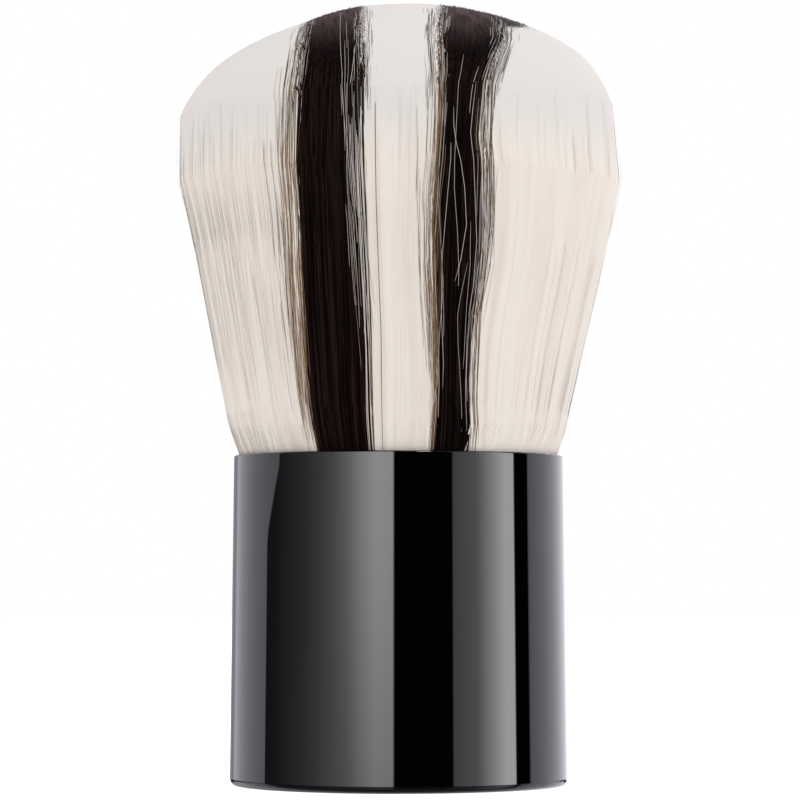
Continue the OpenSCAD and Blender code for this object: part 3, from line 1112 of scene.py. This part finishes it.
class KABUKI_OT_grow_hair(bpy.types.Operator):
    """Grow the five stripes of hair."""

    bl_idname = "kabuki.grow_hair"
    bl_label = "Grow the hair"

    def execute(self, context):
        scene = context.scene
        form = HeadForm(scene.kabuki_head)
        hair = scene.kabuki_hair
        rng = np.random.default_rng(hair.seed)
        sides = thinned(rng, form, side_hairs(rng, form, hair), SIDE_DENSITY)
        dome = thinned(rng, form, dome_hairs(rng, form, hair), DOME_DENSITY)
        for tuft in TUFTS:
            sides = sides.joined(tuft_hairs(rng, form, tuft))
        materials = {
            "white_hair": hair_material("White hair", scene.kabuki_colours, WHITE_GLOSS),
            "black_hair": hair_material("Black hair", scene.kabuki_colours, BLACK_GLOSS),
        }
        for number, node in enumerate(BUNDLES):
            slot = node.rsplit("_", 1)[0]
            lying = sides.only(sides.stripe == number)
            strands = [hair_core(node, form, hair), grown(node, lying, form, hair, True)]
            add_piece(node + "_strands", node, strands, materials[slot], slot)
            upright = dome.only(dome.stripe == number)
            tips = [grown(node, upright, form, hair, False)]
            add_piece(node + "_tips", node, tips, materials[slot], slot)
        return {"FINISHED"}


# Brightness of the studio round the brush, by angle from the camera's side in degrees: a wide soft
# panel to the left, a narrower one to the right, and white walls behind. A ramp holds it as shares
# of STUDIO_SCALE.
STUDIO_SCALE = 8.0
STUDIO = (
    (-104, 0.08), (-93, 0.12), (-80, 0.29), (-68, 0.45), (-56.5, 0.8),
    (-46, 1.33), (-35.5, 2.45), (-25.5, 4.5), (-15.5, 6.2), (-3.2, 5.8),
    (-2.9, 0.0), (37.4, 0.0), (37.7, 1.05), (55, 1.7), (66.5, 4.1),
    (78, 6.8), (86, 6.4), (86.5, 0.0), (100, 0.0), (101.6, 1.2),
    (147, 1.6), (180, 1.3),
)


# Way to a small lamp, whose light glints on the rim, and its brightness
LAMP_WAY, LAMP = (0.241, -0.596, 0.766), 60

# Light on the hair, and how much more of it comes from the right
LEVEL, LEVEL_SIDE = 1.14, 0.1


def mirrored_studio(shader, x, y, z):
    """What the lacquer mirrors of the studio in a direction (x, y, z)."""
    degrees = x.math("ARCTAN2", y * -1.0) * (180 / math.pi)
    stops = [(0.5 + angle / 360, (value / STUDIO_SCALE,) * 3) for angle, value in STUDIO]
    ramp = shader.number("ShaderNodeValToRGB", 0, {"stops": stops}, {0: degrees / 360 + 0.5})
    panels = ramp * STUDIO_SCALE

    # The left panel and the gap beside it are dimmer low down
    front = degrees.step(-55, -30) * degrees.step(20, 10)
    dimmer = front * z.step(0.06, -0.09) * 0.5

    # A wall at the far left, whose front edge slants back above the horizon
    left_wall = (degrees - z.step(0.022, 0.05) * 12).step(-102.4, -103.6)
    wall = degrees.step(-158, -148) * 0.85 + 0.42
    round_about = panels * (1.0 - dimmer) * (1.0 - left_wall) + wall * left_wall

    # The pale floor, which mirrors the studio a little and is brighter behind the brush
    far = (round_about * 0.35 + 0.2) * z.step(-0.12, -0.2) * z.step(-0.8, -0.6)
    near = z.step(-0.6, -0.8) * 0.5
    floor = (far + near) * (y.step(-0.1, 0.4) * 1.2 + 0.4)

    toward_lamp = x * LAMP_WAY[0] + y * LAMP_WAY[1] + z * LAMP_WAY[2]
    lamp = toward_lamp.step(0.9965, 0.998) * LAMP
    ceiling = z.step(0.5, 0.66) * 0.3
    return round_about * z.step(-0.1, -0.07) * z.step(0.66, 0.5) + floor + ceiling + lamp


def place_camera(context, stage):
    """The camera, level with the handle, and its aim at the brush's middle."""
    camera = bpy.data.objects.new("Camera", bpy.data.cameras.new("Camera"))
    context.scene.collection.objects.link(camera)
    context.scene.camera = camera
    camera.data.lens = stage.lens
    camera.data.clip_start, camera.data.clip_end = 0.01, 10
    camera.location = (stage.aim_side, -stage.camera_distance, stage.camera_height)
    aim = Vector((stage.aim_side, 0, stage.aim_height))
    camera.rotation_euler = (aim - camera.location).to_track_quat("-Z", "Y").to_euler()


def lay_floor(context, stage):
    """The pale round floor."""
    bm = bmesh.new()
    bmesh.ops.create_circle(bm, cap_ends=True, segments=96, radius=stage.floor_r)
    mesh = bpy.data.meshes.new("Floor")
    bm.to_mesh(mesh)
    bm.free()
    floor = bpy.data.objects.new("Floor", mesh)
    context.scene.collection.objects.link(floor)
    material = bpy.data.materials.new("Pale floor")
    shader = Shader(material)
    # Seen by the camera, the floor is as white as the backdrop and keeps the brush's shadow
    seen = shader.number("ShaderNodeLightPath", "Is Camera Ray") * 0.75
    matte = shader.node("ShaderNodeBsdfDiffuse", {}, {"Color": (0.8, 0.8, 0.8, 1)})
    pale = shader.node("ShaderNodeEmission", {}, {"Color": (1, 1, 1, 1), "Strength": seen})
    both = shader.node("ShaderNodeAddShader", {}, {0: matte.outputs[0], 1: pale.outputs[0]})
    shader.node("ShaderNodeOutputMaterial", {}, {"Surface": both.outputs[0]})
    give_material(floor, material)
    floor.visible_glossy = False


def light_studio(context):
    """The light: soft on the hair, panels in the lacquer, and white behind the brush."""
    world = bpy.data.worlds.new("Studio")
    context.scene.world = world
    shader = Shader(world)
    x, y, z = coordinates(shader, "Generated")
    mirrored = mirrored_studio(shader, x, y, z)
    cool = 1.0 + 0.14 / (mirrored + 1.0)
    parts = {"X": mirrored, "Y": mirrored * 0.98, "Z": mirrored * cool}
    sharp = shader.node("ShaderNodeCombineXYZ", {}, parts).outputs[0]

    level = x * LEVEL_SIDE + LEVEL
    parts = {"X": level, "Y": level, "Z": level}
    soft = shader.node("ShaderNodeCombineXYZ", {}, parts).outputs[0]
    rays = shader.node("ShaderNodeLightPath").outputs
    light = shader.colours(rays["Is Glossy Ray"], soft, sharp)
    straight = Number(shader, rays["Is Camera Ray"]) + rays["Is Transmission Ray"]
    light = shader.colours(straight, light, (1, 1, 1))
    background = shader.node("ShaderNodeBackground", {}, {"Color": light})
    shader.node("ShaderNodeOutputWorld", {}, {"Surface": background.outputs[0]})


class KABUKI_OT_set_stage(bpy.types.Operator):
    """Set the camera, the floor and the studio's light."""

    bl_idname = "kabuki.set_stage"
    bl_label = "Set the stage"

    def execute(self, context):
        stage = context.scene.kabuki_stage
        place_camera(context, stage)
        lay_floor(context, stage)
        light_studio(context)
        context.scene.view_settings.view_transform = "Standard"
        return {"FINISHED"}


class KABUKI_PT_panel(bpy.types.Panel):
    """The brush's settings and steps"""

    bl_label = "Kabuki brush"
    bl_idname = "KABUKI_PT_panel"
    bl_space_type = "VIEW_3D"
    bl_region_type = "UI"
    bl_category = "Kabuki brush"

    def draw(self, context):
        for group, settings in GROUPS.items():
            box = self.layout.box()
            box.label(text=settings.__doc__)
            for name in settings.__annotations__:
                box.prop(getattr(context.scene, group), name)
        for operator in OPERATORS:
            self.layout.operator(operator.bl_idname)


OPERATORS = (KABUKI_OT_finish_shell, KABUKI_OT_grow_hair, KABUKI_OT_set_stage)


def register():
    for group, settings in GROUPS.items():
        bpy.utils.register_class(settings)
        setattr(bpy.types.Scene, group, PointerProperty(type=settings))
    for operator in OPERATORS:
        bpy.utils.register_class(operator)
    bpy.utils.register_class(KABUKI_PT_panel)


def unregister():
    bpy.utils.unregister_class(KABUKI_PT_panel)
    for operator in reversed(OPERATORS):
        bpy.utils.unregister_class(operator)
    for group, settings in reversed(GROUPS.items()):
        delattr(bpy.types.Scene, group)
        bpy.utils.unregister_class(settings)


def main():
    register()
    bpy.ops.kabuki.finish_shell()
    bpy.ops.kabuki.grow_hair()
    bpy.ops.kabuki.set_stage()


if __name__ == "__main__":
    main()
